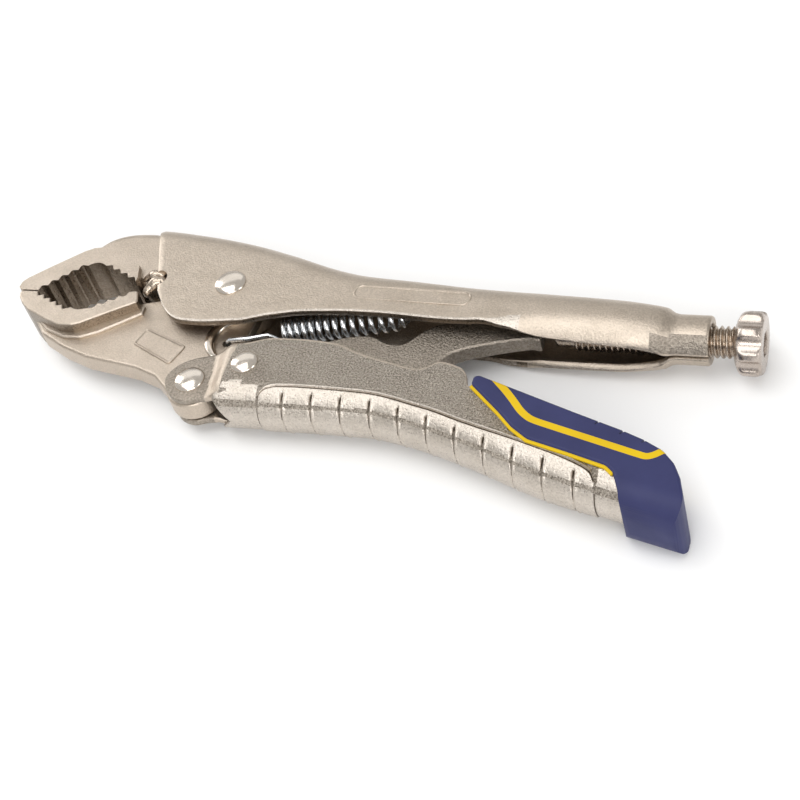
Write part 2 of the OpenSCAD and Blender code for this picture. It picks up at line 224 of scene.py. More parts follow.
def tidy_normals(piece):
    """Joins points that coincide and turns every face outwards."""
    bm = bmesh.new()
    bm.from_mesh(piece.data)
    bmesh.ops.remove_doubles(bm, verts=bm.verts, dist=1e-7)
    bmesh.ops.recalc_face_normals(bm, faces=bm.faces)
    bm.to_mesh(piece.data)
    bm.free()


def smooth(piece, angle):
    """Smooth shading, apart from edges that turn by more than angle degrees."""
    piece.data.shade_smooth()
    piece.data.set_sharp_from_angle(angle=math.radians(angle))


def ease(x, a, b):
    """Rises smoothly from 0 at a to 1 at b."""
    t = np.clip((x - a) / (b - a), 0, 1)
    return t * t * (3 - 2 * t)


def paint(piece, material, where):
    """Gives the faces picked by where(centre in the drawing frame, normal) another finish."""
    piece.data.materials.append(material)
    last = len(piece.data.materials) - 1
    for face in piece.data.polygons:
        if where(drawn(face.center), face.normal):
            face.material_index = last


def is_flank(_, normal):
    return abs(normal.z) < 0.3


def settle(piece):
    """Works the modifiers into the mesh."""
    graph = bpy.context.evaluated_depsgraph_get()
    graph.update()
    made = bpy.data.meshes.new_from_object(piece.evaluated_get(graph))
    piece.modifiers.clear()
    piece.data = made
    return piece


def flat_faces(piece):
    """Keeps large faces flat to the light beside their rounded edges."""
    m = piece.modifiers.new("flat faces", "WEIGHTED_NORMAL")
    m.mode = "FACE_AREA"
    m.keep_sharp = True


def bevel(piece, width, segments, corner):
    """Rounds the rims of a flat-sided piece by width, and its upright corners by less."""
    bm = bmesh.new()
    bm.from_mesh(piece.data)
    weights = bm.edges.layers.float.new("bevel_weight_edge")
    for e in bm.edges:
        if len(e.link_faces) != 2:
            continue
        turn = e.calc_face_angle(0)
        upright = abs((e.verts[0].co - e.verts[1].co).normalized().z) > 0.5
        if turn > math.radians(60) and not upright:
            e[weights] = 1
        elif upright and turn > math.radians(12):
            e[weights] = corner
    bm.to_mesh(piece.data)
    bm.free()
    m = piece.modifiers.new("bevel", "BEVEL")
    m.limit_method = "WEIGHT"
    m.width = width / 1000
    m.segments = segments
    m.use_clamp_overlap = True
    m.miter_outer = "MITER_ARC"
    flat_faces(piece)
    return settle(piece)


def combine(piece, operation, *tools):
    """Works each tool, a passing shape, into the piece, and removes it."""
    for shape in tools:
        m = piece.modifiers.new("combine", "BOOLEAN")
        m.operation = operation
        m.solver = "EXACT"
        m.object = shape
    settle(piece)
    for shape in tools:
        bpy.data.objects.remove(shape)


def slab_mesh(points, low, high):
    """Straight prism on an outline."""
    n = len(points)
    verts = [(x, y, low) for x, y in points] + [(x, y, high) for x, y in points]
    faces = [list(range(n))[::-1], list(range(n, 2 * n))]
    faces += [[i, (i + 1) % n, n + (i + 1) % n, n + i] for i in range(n)]
    return verts, faces


def slab(name, points, low, high, body, slot, material, round_by=0.4, segments=3, corner=0.6):
    verts, faces = slab_mesh(points, low, high)
    piece = put(name, verts, faces, body, slot, material)
    return bevel(piece, round_by, segments, corner)


def arc(at, r, start, end, steps):
    angles = [math.radians(start + (end - start) * k / steps) for k in range(steps + 1)]
    return [(at[0] + r * math.cos(a), at[1] + r * math.sin(a)) for a in angles]


def circle(at, r, count):
    return arc(at, r, 0, 360, count)[:-1]


def drill(at, r, count, reach):
    """Round tool through the thickness."""
    return new_object("tool", *slab_mesh(circle(at, r, count), -reach, reach))


def curved(points, step):
    """Even points along a smooth line through the given ones."""
    p = np.array(points, float)
    ext = np.vstack([2 * p[0] - p[1], p, 2 * p[-1] - p[-2]])
    out = []
    for i in range(len(p) - 1):
        a, b, c, d = ext[i : i + 4]
        count = max(1, int(round(np.linalg.norm(c - b) / step)))
        for k in range(count):
            t = k / count
            out.append(
                0.5 * (2 * b + (c - a) * t + (2 * a - 5 * b + 4 * c - d) * t * t
                       + (3 * b - a - 3 * c + d) * t ** 3)
            )
    out.append(p[-1])
    return np.array(out)


def spaced(line, count):
    """Points at equal distances along a line."""
    line = np.array(line, float)
    d = np.concatenate([[0], np.cumsum(np.linalg.norm(np.diff(line, axis=0), axis=1))])
    t = np.linspace(0, d[-1], count)
    return np.stack([np.interp(t, d, line[:, k]) for k in range(line.shape[1])], 1)


def monotone(x, table):
    """Smooth curve through a table of pairs, with no overshoot."""
    t = np.array(table, float)
    h = np.diff(t[:, 0])
    d = np.diff(t[:, 1]) / h
    m = np.zeros(len(t))
    for i in range(1, len(t) - 1):
        if d[i - 1] * d[i] > 0:
            m[i] = 2 * d[i - 1] * d[i] / (d[i - 1] + d[i])
    x = np.clip(x, t[0, 0], t[-1, 0])
    i = np.clip(np.searchsorted(t[:, 0], x, side="right") - 1, 0, len(t) - 2)
    u = (x - t[i, 0]) / h[i]
    v = 1 - u
    return (
        t[i, 1] * (1 + 2 * u) * v * v + m[i] * h[i] * u * v * v
        + t[i + 1, 1] * u * u * (3 - 2 * u) - m[i + 1] * h[i] * u * u * v
    )


def grid_faces(rows, cols, wrap=False):
    """Faces of a grid of points, wrapped round into a tube if asked."""
    out = []
    for j in range(rows - 1):
        for i in range(cols if wrap else cols - 1):
            k = (i + 1) % cols
            out.append((j * cols + i, j * cols + k, (j + 1) * cols + k, (j + 1) * cols + i))
    return out


def loop_loft(rings):
    """Skin through closed rings; each end closes onto its own middle line."""
    n = len(rings[0])
    verts = [tuple(p) for r in rings for p in r]
    faces = grid_faces(len(rings), n, True)
    for base, flip in ((0, False), ((len(rings) - 1) * n, True)):
        for i in range(n // 2 - 1):
            q = [base + i, base + i + 1, base + n - 2 - i, base + n - 1 - i]
            faces.append(q if flip else q[::-1])
    return verts, faces


def capped(rings):
    """Skin through closed rings, with one flat face over each end."""
    n = len(rings[0])
    verts = [tuple(p) for r in rings for p in r]
    faces = grid_faces(len(rings), n, True)
    faces += [tuple(range(len(verts) - n, len(verts))), tuple(range(n))[::-1]]
    return verts, faces


def ring_round(at, across, up, count):
    """Ring of points round at, spanned by two vectors."""
    angles = np.linspace(0, 2 * math.pi, count + 1)[:-1]
    return [tuple(at + math.cos(a) * across + math.sin(a) * up) for a in angles]


def heading(line, i):
    """Unit direction of a line at its point i."""
    d = line[min(i + 1, len(line) - 1)] - line[max(i - 1, 0)]
    return d / np.linalg.norm(d)


def lathe(name, profile, at, steps, body, slot, material, **kw):
    """Turned piece from (radius, height) pairs, with both ends on the axis."""
    verts = []
    inner = profile[1:-1]
    for r, h in inner:
        for k in range(steps):
            a = 2 * math.pi * k / steps
            verts.append((r * math.cos(a), r * math.sin(a), h))
    faces = grid_faces(len(inner), steps, True)
    for row, h in ((0, profile[0][1]), (len(inner) - 1, profile[-1][1])):
        verts.append((0, 0, h))
        for k in range(steps):
            faces.append((row * steps + k, row * steps + (k + 1) % steps, len(verts) - 1))
    return put(name, np.array(verts) + [*at, 0], faces, body, slot, material, **kw)


# ---------------------------------------------------------------- upper handle

UPPER_TOP = [
    (-130, 24.3), (-120, 22.95), (-110.5, 20.75), (-100, 17.2), (-88.4, 13.45), (-81.5, 12),
    (-68, 10.8), (-48, 8.9), (-22, 7.5), (-16.2, 7), (-12, 6.4), (-10.2, 5.4), (-9, 5.16),
    (-2.4, 5.16),
]
UPPER_WIDTH = [
    (-130, UPPER_HALF), (-60, UPPER_HALF), (-48, 7), (-38, 7.4), (-22, 7.35), (-16.2, 6.85),
    (-12, 6.2), (-10.2, 5.3), (-9, 5.1), (-2.4, 5.1),
]
UPPER_EDGE = [
    (-130, 1.4), (-129.2, -0.9), (-128.1, -3.5), (-126.6, -5.5), (-124.8, -6.7), (-122.5, -7.2),
    (-118, -7.35), (-114.2, -7.1), (-110.4, -6.7), (-106.7, -6.3), (-103, -5.2), (-99.4, -4.2),
    (-92.6, -2.8), (-87.9, -2.4), (-80.9, -2.05), (-74, -2.1), (-69, -2.4), (-62, -2.9),
    (-52.8, -3.2), (-48, -2.6), (-44, -1.6), (-38, -0.3), (-2.4, -0.3),
]
UPPER_CURL = [
    (-130, 3), (-52, 3), (-45, 24), (-38, 48), (-30, 54), (-18, 62), (-13, 72), (-10, 84),
    (-2.4, 84),
]
UPPER_FRONT, UPPER_REAR = -130, -2.4
LEAN, LEAN_FROM, LEAN_FOOT = -0.37, -100, 0.8


def lip(thickness, count=5):
    """Half-round end of the sheet, as (along, across) pairs from the outer to the inner face."""
    out = []
    for k in range(1, count):
        a = math.pi * k / count
        along, across = math.sin(a) ** 0.6, math.copysign(abs(math.cos(a)) ** 0.5, math.cos(a))
        out.append((LIP_REACH * thickness * along, thickness / 2 * across))
    return out


def thinned(from_end):
    """Share of the sheet's thickness near its cut end."""
    return 1 - 0.35 * max(0, 1 - from_end / 0.45) ** 2


def upper_section(s, thin):
    """Closed section at one station: outer face, lip, inner face, lip."""
    top, w = float(monotone(s, UPPER_TOP)), float(monotone(s, UPPER_WIDTH))
    foot, curl = float(monotone(s, UPPER_EDGE)), math.radians(float(monotone(s, UPPER_CURL)))
    back = top - w
    t = SHEET * thin
    mid = w - SHEET / 2
    curled = min(1.0, math.degrees(curl) / 40)
    foot += LIP_REACH * t * (1 - curled)
    curl -= LIP_REACH * t / w * curled
    path = [(foot, -curl * k / 8) for k in range(8, 0, -1)]
    path += [(foot + (back - foot) * k / 6, 0.0) for k in range(7)]
    path += [(back, math.pi * k / 28) for k in range(1, 28)]
    path += [(back + (foot - back) * k / 6, math.pi) for k in range(7)]
    path += [(foot, math.pi + curl * k / 8) for k in range(1, 9)]

    def at(c, a, r):
        return c + r * math.sin(a), r * math.cos(a)

    outer = [at(c, a, mid + t / 2) for c, a in path]
    inner = [at(c, a, mid - t / 2) for c, a in path][::-1]
    end = []
    c, a = path[-1]
    for along, across in lip(t):
        y, z = at(c, a, mid + across)
        end.append((y + along * math.cos(a), z - along * math.sin(a)))
    start = []
    c, a = path[0]
    for along, across in lip(t)[::-1]:
        y, z = at(c, a, mid + across)
        start.append((y - along * math.cos(a), z + along * math.sin(a)))
    return outer, end, inner, start


def ring_pairs(outer, end, inner, start):
    """Orders a section so that its first and last halves face each other."""
    half = len(start) // 2
    return start[half:] + outer + end + inner + start[:half]


def upper_rings():
    stations = np.unique(np.concatenate([
        np.arange(UPPER_FRONT, -101, 0.8), np.arange(-101, -52, 1.2), np.arange(-52, -34, 0.6),
        np.arange(-34, -14, 0.9), np.arange(-14, -2.3, 0.3), [UPPER_REAR],
    ]))
    rings = []
    for s in stations:
        thin = thinned(min(s - UPPER_FRONT, UPPER_REAR - s))
        lean = LEAN * max(0, (LEAN_FROM - s) / (LEAN_FROM - UPPER_FRONT))
        line = ring_pairs(*upper_section(s, thin))
        rings.append([(s + lean * (y - LEAN_FOOT), y, z) for y, z in line])
    return rings


verts, faces = loop_loft(upper_rings())
upper = put("upper_handle_shell", verts, faces, "frame", "nickel_sheet", NICKEL, 42,
            replaces=("upper_handle",))
combine(upper, "DIFFERENCE", drill((-131.6, 5.4), 2.3, 40, 12))
smooth(upper, 42)
# painted shade on the downward faces of the lower edge
paint(upper, SHADED, lambda c, n: c[0] < -42 and n.y < -0.75 and c[1] < 1.5)
# painted shade: a darker band under the ferrule and along the bottom of the tube
paint(upper, DARK_NICKEL, lambda c, n: n.z > 0.2 and (-0.96 < n.y < -0.5 if c[0] > -14.5 else
                                               c[0] > -58 and n.y < -0.9))
# painted highlight: a bright band on the rounded corner above the lower edge
paint(upper, RIBBED_AND_HIGHLIGHT, lambda c, n: c[0] < -42 and -0.75 <= n.y < -0.12 and c[1] < 1.5
      and abs(c[2]) > UPPER_HALF - 0.75 and n.z * c[2] > 0)


# ---------------------------------------------------------------- fixed jaw


def zigzag(a, b, count):
    """Blunt teeth along a straight line."""
    a, b = np.array(a, float), np.array(b, float)
    step = (b - a) / count
    side = TOOTH_DEPTH * np.array([-step[1], step[0]]) / np.linalg.norm(step)
    out = []
    for k in range(count):
        out += [tuple(a + step * k), tuple(a + step * (k + 0.42) + side),
                tuple(a + step * (k + 0.58) + side)]
    return out


UPPER_MOUTH = (
    zigzag((-161.7, 0), (-152, 8.9), 5)
    + arc((-149.4, 6.7), 3.1, 140, 58, 12)
    + zigzag((-147, 8.9), (-137.2, 4.2), 4)
)
LOWER_MOUTH = (
    zigzag((-137.6, 1), (-146.4, -4.2), 4)
    + arc((-148.6, -1.6), 3.6, -64, -124, 12)
    + zigzag((-151.2, -4.9), (-161.7, 0), 5)
)

pad = (
    [(-161.7, 0.05), (-166.6, 0.05), (-167.3, 0.8), (-167.25, 2.5), (-166.2, 3.9), (-161.2, 8.2),
     (-154.8, 13.4), (-152.6, 14.6), (-150.6, 14.9), (-147.5, 13.9), (-139.9, 10.9), (-138.3, 9.4),
     (-137.2, 5.6), (-137.2, 4.2)]
    + UPPER_MOUTH[::-1]
)
# the pad's upright faces take the darker mouth nickel as painted shade
paint(slab("fixed_jaw_pad", pad, -PAD_HALF, PAD_HALF, "frame", "nickel_forging", FORGED, 0.4, 4,
           0.25), MOUTH_SHADE, is_flank)


NECK_UNDERSIDE = [
    (-158.6, 8.6), (-152, 10), (-146, 10.2), (-140, 7.4), (-137, 5), (-135, 4.6), (-132.6, 6),
    (-130, 6.6), (-127, 6), (-121, 5.8), (-117, 8.6), (-114, 12),
]
NECK_BACK = [
    (-158.9, 10.4), (-155.8, 14.2), (-153.8, 17.6), (-151.6, 20.3), (-149, 21.9), (-146, 22.8),
    (-143.5, 23.1), (-140, 23.2), (-138.4, 22.8), (-136.6, 21.5), (-133, 20.5), (-126, 19.7),
    (-120, 18.6), (-115, 17.2),
]


def neck():
    """Forged neck of the fixed jaw: flat faces that round over to its back and underside."""
    count = 80
    a, b = spaced(curved(NECK_UNDERSIDE, 0.5), count), spaced(curved(NECK_BACK, 0.5), count)
    rings = []
    for i in range(count):
        u = i / (count - 1)
        wide = np.linalg.norm(b[i] - a[i])
        half = SHANK_HALF * (0.8 + 0.2 * float(ease(u, 0.0, 0.12)))
        over = min(3.4, 0.45 * wide)
        under = min(0.5 + 3.2 * float(ease(u, 0.38, 0.5)), 0.45 * wide)
        near = []
        for k in range(12):
            c = math.pi / 2 * k / 12
            near.append((under * (1 - math.cos(c)), half * math.sin(c) ** 0.9))
        near += [(under + (wide - under - over) * k / 6, half) for k in range(7)]
        for k in range(1, 17):
            c = math.pi / 2 * k / 16
            near.append((wide - over * (1 - math.sin(c)), half * math.cos(c) ** 0.88))
        way = (b[i] - a[i]) / wide
        near = [(*(a[i] + way * d), max(0.05, z)) for d, z in near]
        rings.append(near + [(x, y, -z) for x, y, z in near[::-1]])
    v, f = loop_loft(rings)
    piece = put("fixed_jaw_body", v, f, "frame", "nickel_forging", FORGED, 50,
                replaces=("fixed_jaw",))
    # painted shade on the faces of the underside that point down
    paint(piece, SHADED, lambda c, n: n.y < -0.45 and c[0] > -141)


neck()


# ---------------------------------------------------------------- welds


def bead(name, path, r, ripple, count, replaces=()):
    """A rippled weld bead along a line, thinner at its ends."""
    steps = 60
    line = spaced(path, steps)
    up = np.array([0, 0, 1.0])
    rings = []
    for i, at in enumerate(line):
        u = i / (steps - 1)
        size = r * (0.25 + 0.75 * math.sin(math.pi * u) ** 0.4)
        size *= 1 + ripple * math.cos(2 * math.pi * count * u)
        rings.append(ring_round(at, size * np.cross(heading(line, i), up), size * up, 16))
    v, f = loop_loft(rings)
    put(name, v, f, "frame", "weld_metal", WELD, 60, replaces=replaces)


for side, label in SIDES:
    bead("weld_" + label,
         [(-135.2, 2.4, side * 3.3), (-133.9, 4.2, side * 4.1), (-132.6, 5.4, side * 4.6),
          (-131, 5.6, side * 4.7), (-129.6, 4.8, side * 4.3)],
         1.5, 0.07, 2, ("jaw_welds",) if side > 0 else ())
    bead("weld_upper_" + label,
         [(-137, 6.6, side * 3.2), (-135, 7.5, side * 4.2), (-133, 7.8, side * 4.7),
          (-131, 7.3, side * 4.6)], 1.3, 0.08, 2)


# ---------------------------------------------------------------- movable jaw

lower_pad = (
    [(-161.7, -0.05), (-166, -0.05), (-166.4, -0.8), (-166, -2.1), (-164.4, -4.1),
     (-161.9, -6.1), (-155.5, -9), (-152.2, -10.2), (-150.2, -10.4), (-148.2, -10.3),
     (-146.2, -9.5), (-140.9, -6.2), (-134.4, -2.3), (-134.2, -1.6), (-135.4, 1.2),
     (-136.2, 1.3)]
    + LOWER_MOUTH
)
# painted shade on the pad's upright flanks
paint(slab("movable_jaw_pad", lower_pad, -PAD_HALF, PAD_HALF, "jaw", "nickel_forging", FORGED,
           0.4, 4, 0.25), SHADED, is_flank)
shoulder = [
    (-161, -5.6), (-156.2, -9.9), (-150.7, -11.9), (-146.5, -11.8), (-142.3, -9.9), (-133.2, -3.4),
    (-133.4, -1), (-140, -1.5), (-150, -6),
]
slab("movable_jaw_shoulder", shoulder, -3.3, 3.3, "jaw", "nickel_forging", FORGED, 0.45, 4)
plate = (
    [(-162, -5.2), (-157.3, -10.6), (-150.3, -14.2), (-143, -16.8), (-135, -18.1), (-129.2, -19.1),
     (-123.3, -21.2), (-119.6, -24.3)]
    + arc(HANDLE_PIVOT, 6.0, 205, 355, 13)
    + [(-108.4, -18.4), (-110.6, -15), (-112.4, -13.2), (-114, -10.2), (-114.3, -7), (-112.6, -4.4),
       (-109.5, -2.6), (-108, 0), (-108, 4), (-112, 11), (-121.4, 4.4), (-134.5, 1), (-150, -6)]
)
jaw_plate = slab("movable_jaw_plate", plate, -PLATE_HALF, PLATE_HALF, "jaw", "nickel_forging",
                 FORGED, 0.75, 5, 0.5)
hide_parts("movable_jaw")
web = [(-117, -17), (-110.5, -18.5), (-107.2, -17), (-106, -12), (-104.8, 2), (-117, 2)]
jaw_web = slab("movable_jaw_web", web, -1.2, 1.2, "jaw", "nickel_forging", FORGED, 0.35, 3)
combine(jaw_web, "DIFFERENCE", drill((-109.9, -9.3), 1.1, 32, 4))
slab("movable_jaw_boss", circle(JAW_PIVOT, 8.5, 72), -SHANK_HALF, SHANK_HALF, "jaw",
     "nickel_forging", FORGED, 0.5, 3, 0)


def rim_of_web(name, side):
    """Raised round edge where the web meets the plate."""
    line = curved([(-108.6, -2.2), (-111.4, -3.2), (-113.3, -5.2), (-114.1, -7.6),
                   (-113.9, -10.4), (-112.6, -12.8), (-110.6, -14.6)], 0.4)
    wide, deep, middle = 1.5, 1.1, 1.6
    rings = []
    for i, (x, y) in enumerate(line):
        ahead = heading(line, i)
        size = 0.4 + 0.6 * math.sin(math.pi * i / (len(line) - 1)) ** 0.5
        across = wide * size * np.array([-ahead[1], ahead[0], 0])
        up = deep * size * np.array([0, 0, side])
        rings.append(ring_round(np.array([x, y, side * middle]), across, up, 20))
    v, f = loop_loft(rings)
    put(name, v, f, "jaw", "nickel_forging", RIVET, 60)


for side, label in SIDES:
    rim_of_web("movable_jaw_ring_" + label, side)


def frame_plate(name, corners, width, low, high, body, slot, material, r=1.0, rise=None):
    """Raised border round a blank panel, with rounded corners. rise(x) adds to its height."""
    c = np.array(corners, float)

    def rounded(inset):
        out = []
        for i in range(len(c)):
            a, b, d = c[i - 1], c[i], c[(i + 1) % len(c)]
            u, v = (a - b) / np.linalg.norm(a - b), (d - b) / np.linalg.norm(d - b)
            bis = (u + v) / np.linalg.norm(u + v)
            half = math.acos(max(-1, min(1, float(u @ v)))) / 2
            centre = b + bis * (r / math.sin(half))
            p0, p1 = b + u * (r / math.tan(half)), b + v * (r / math.tan(half))
            a0 = math.atan2(*(p0 - centre)[::-1])
            a1 = math.atan2(*(p1 - centre)[::-1])
            turn = (a1 - a0 + math.pi) % (2 * math.pi) - math.pi
            for k in range(7):
                a = a0 + turn * k / 6
                out.append(centre + (r - inset) * np.array([math.cos(a), math.sin(a)]))
        return out

    rows = [
        [(x, y, low) for x, y in rounded(0)],
        [(x, y, high - 0.12) for x, y in rounded(0.05)],
        [(x, y, high) for x, y in rounded(0.2)],
        [(x, y, high) for x, y in rounded(width - 0.15)],
        [(x, y, high - 0.14) for x, y in rounded(width)],
        [(x, y, high - 0.24) for x, y in rounded(width + 0.12)],
    ]
    if rise:
        rows = [[(x, y, z + rise(x)) for x, y, z in row] for row in rows]
    return put(name, *capped(rows), body, slot, material, 30)


frame_plate("movable_jaw_panel", [(-132.4, -12.2), (-130.8, -7), (-118.6, -12), (-120.8, -17.8)],
            0.6, PLATE_HALF - 0.3, PLATE_HALF + 0.3, "jaw", "nickel_forging", FORGED)
for side, label in SIDES:
    emblem = frame_plate(
        "upper_handle_panel_" + label, [(-82, 1.6), (-81.6, 5.9), (-54.2, 4.9), (-53.8, 0.6)],
        0.55, UPPER_HALF - 0.3, UPPER_HALF + 0.14, "frame", "nickel_sheet", NICKEL, 2.0,
        rise=lambda x: float(monotone(x, UPPER_WIDTH)) - UPPER_HALF,
    )
    if side < 0:
        emblem.data.transform(Matrix.Translation((0, 0, 2 * SHIFT[2] / 1000))
                              @ Matrix.Scale(-1, 4, (0, 0, 1)))
        emblem.data.flip_normals()


# ---------------------------------------------------------------- rivets


def rivet(name, at, r, head_r, half, dome, body, node):
    """Pin with a domed, slightly flared head at each end."""
    angles = np.linspace(0, math.pi / 2, 12)
    top = [(head_r * math.sin(a), half + dome * math.cos(a)) for a in angles]
    rim = [(head_r, half - 0.05), (head_r - 0.12, half - 0.12), (r, half - 0.14), (r, 0)]
    upper_half = top + rim
    lower_half = [(x, -y) for x, y in upper_half[::-1]][1:]
    lathe(name, upper_half + lower_half, at, 72, body, "rivet_steel", RIVET, replaces=(node,),
          angle=45)


rivet("pivot_rivet_jaw", JAW_PIVOT, 2.95, 3.75, UPPER_HALF + 0.02, 1.2, "frame", "jaw_pivot_rivet")
rivet("pivot_rivet_handle", HANDLE_PIVOT, 2.45, 3.5, 4.37, 1.2, "handle", "handle_rivet")
rivet("pivot_rivet_toggle", TOGGLE_PIVOT, 1.95, 3.1, LOWER_HALF + 0.02, 1.1, "handle",
      "toggle_rivet")


# ---------------------------------------------------------------- lower handle

LOWER_EDGE = [
    (-104, -13.4), (-95.7, -11.2), (-89.7, -11.1), (-81.6, -11.7), (-74.6, -14.3), (-67.9, -16.1),
    (-60.7, -17.6), (-59.4, -17.3), (-56.1, -15.3), (-51.4, -16.6), (-49.8, -18.2), (-48.6, -21.2),
    (-46, -22.2), (-40, -24), (-25, -29.4), (-14, -33.4), (-4, -38.5),
]
LOWER_BACK = [
    (-104, -30.9), (-82, -30.5), (-71, -30.6), (-62.3, -31.9), (-55.8, -33.5), (-42.6, -37.9),
    (-36.8, -40.2), (-28.5, -43.1), (-17.4, -45.9), (-12.3, -47.2), (-4, -49.4),
]
PANEL_TOP = [
    (-95.2, -29.4), (-94.4, -27.2), (-93, -25.6), (-90.5, -24.9), (-85.3, -24.7), (-71.4, -25),
    (-56.5, -28), (-47.1, -31), (-33.4, -35.2), (-21.5, -39.4), (-18.8, -41), (-17.4, -43.6),
]
LOWER_FRONT, LOWER_REAR = -104, -4
PANEL_FRONT, PANEL_REAR = -94.6, -17.6
GROOVES = [-88.9 + 6.68 * k for k in range(11)]
BASE_DROP = 0.35
EAR_OUTER = 4.35


def lower_centre(s):
    """Height of the axis that the round back of the lower handle turns about."""
    return float(monotone(s, LOWER_BACK)) + LOWER_HALF


def crease_at(centre, edge):
    """Distance along the skin of the panel's upper border."""
    return min(3.2, max(-1.0, y_to_arc(centre - edge)))


def sunk(q):
    """How far the skin round the panel lies under the wall's plane."""
    return BASE_DROP * float(ease(q, -0.5, 2.2))


def y_to_arc(down):
    """Distance along the skin below the wall's foot, negative up the wall."""
    return LOWER_HALF * math.asin(min(1.0, down / LOWER_HALF)) if down > 0 else down


def skin_lift(s, q, crease):
    """Relief of the ribbed panel at distance q along the skin, with its border at crease."""
    ends = float(ease(s, -95.1, -94.3) * (1 - ease(s, -17.9, -17.1)))
    below = q - crease
    h = ends * BASE_DROP * float(ease(below, -0.1, 0.5)) - sunk(q)
    h += ends * 0.24 * math.exp(-(((below + 0.38) / 0.26) ** 2))
    h -= ends * 0.34 * math.exp(-(((below - 0.12) / 0.17) ** 2))
    if below > 0:
        for end in (PANEL_FRONT, PANEL_REAR):
            h -= 0.25 * math.exp(-(((s - end) / 0.25) ** 2))
    groove = 0.0
    for g in GROOVES:
        d = s - g
        if abs(d) < 1.6 and below > 0:
            start = float(ease(below, 1.3, 2.0))
            fade = float(np.clip(1 - (below - 2.0) / 6.5, 0.3, 1))
            wide = 0.14 + 0.12 * fade
            side = 1.2 if d < 0 else 0.8
            groove -= 0.7 * start * fade * math.exp(-((d / (wide * side)) ** 2))
            groove += 0.16 * start * math.exp(-(((d - 0.55) / 0.22) ** 2))
    return h + groove * ends


def lower_section(s, thin):
    """Closed section at one station: outer face, lip, inner face, lip."""
    centre = lower_centre(s)
    t = SHEET * thin
    top = float(monotone(s, LOWER_EDGE)) - LIP_REACH * t
    mid = LOWER_HALF - SHEET / 2
    crease = crease_at(centre, float(monotone(s, PANEL_TOP)))
    near = [-0.9, -0.65, -0.5, -0.38, -0.26, -0.14, -0.02, 0.08, 0.16, 0.24, 0.34, 0.46, 0.6, 0.85,
            1.1, 1.4, 1.7, 2.0, 2.3]
    qs = list(np.linspace(centre - top, crease - 1.1, 11))
    qs += [crease + d for d in near]
    qs += list(np.linspace(crease + 2.6, LOWER_HALF * math.pi / 2, 20))
    flank = [(centre - min(q, 0.0), -max(q, 0.0) / LOWER_HALF, q) for q in qs]
    path = flank + [(c, -math.pi - a, q) for c, a, q in flank[-2::-1]]
    outer, inner = [], []
    for c, a, q in path:
        r = mid + t / 2 + (skin_lift(s, q, crease) if q > crease - 1.2 else 0.0)
        outer.append((c + r * math.sin(a), r * math.cos(a)))
        inner.append((c + (mid - t / 2) * math.sin(a), (mid - t / 2) * math.cos(a)))
    end = [(top + along, -(mid + across)) for along, across in lip(t)]
    start = [(top + along, mid + across) for along, across in lip(t)[::-1]]
    return outer, end, inner[::-1], start


def lower_rings():
    stations = list(np.arange(LOWER_FRONT, LOWER_REAR, 0.45)) + [LOWER_REAR]
    extra = [g + d for g in GROOVES
             for d in (-0.42, -0.3, -0.2, -0.1, 0, 0.1, 0.2, 0.3, 0.42, 0.55, 0.7, 0.9)]
    extra += [e + d for e in (PANEL_FRONT, PANEL_REAR)
              for d in (-0.4, -0.25, -0.12, 0, 0.12, 0.25, 0.4)]
    rings = []
    for s in sorted(set(round(float(s), 2) for s in stations + extra)):
        thin = thinned(min(s - LOWER_FRONT, LOWER_REAR - s))
        centre = lower_centre(s)
        near_front = max(0.0, 1 - (s - LOWER_FRONT) / 6)
        ring = []
        for y, z in ring_pairs(*lower_section(s, thin)):
            slant = (2.2 - 3.7 * min(1.0, abs(z) / 4.4)) * float(ease(centre - y, 1.0, 3.5))
            ring.append((s + slant * near_front, y, z))
        rings.append(ring)
    return rings


verts, faces = loop_loft(lower_rings())
lower = put("lower_handle_shell", verts, faces, "handle", "nickel_sheet_blasted", BLASTED, 45,
            replaces=("lower_handle",))


def is_rim(c, _):
    return c[1] > monotone(c[0], LOWER_EDGE) - 0.62


def panel_edge(x):
    """Upper border of the bright back, carried on level past the panel's ends."""
    inside = PANEL_FRONT - 0.6 < x < PANEL_REAR + 0.6
    return float(monotone(x if inside else min(max(x, -91.5), -21), PANEL_TOP))


def is_back(c, _):
    outside = abs(c[2]) > 4.8 or c[1] < monotone(c[0], LOWER_BACK) + 1.5
    return outside and c[1] < panel_edge(c[0]) + 0.6


def is_groove(c, _):
    """True in the panel's cross grooves and on the line round it, the faces that get painted shade.
    """
    x, y, z = c
    if not (is_back(c, _) and PANEL_FRONT - 0.6 < x < PANEL_REAR + 0.6):
        return False
    down = lower_centre(x) - y
    q = LOWER_HALF * math.atan2(down, abs(z)) if down > 0 else down
    below = q - crease_at(lower_centre(x), panel_edge(x))
    wide = 0.06 + 0.11 * float(np.clip(1 - (below - 2.0) / 6, 0, 1))
    groove = 1.6 < below < 8 and min(abs(x - g + 0.03) for g in GROOVES) < wide
    end = below > 0 and min(abs(x - PANEL_FRONT), abs(x - PANEL_REAR)) < 0.11
    return groove or end or 0 < below < 0.2


# painted highlight: the smooth nickel on the lip gives a bright line along the edge
paint(lower, NICKEL, is_rim)
paint(lower, RIBBED_AND_HIGHLIGHT, is_back)
paint(lower, GROOVE_SHADE, is_groove)


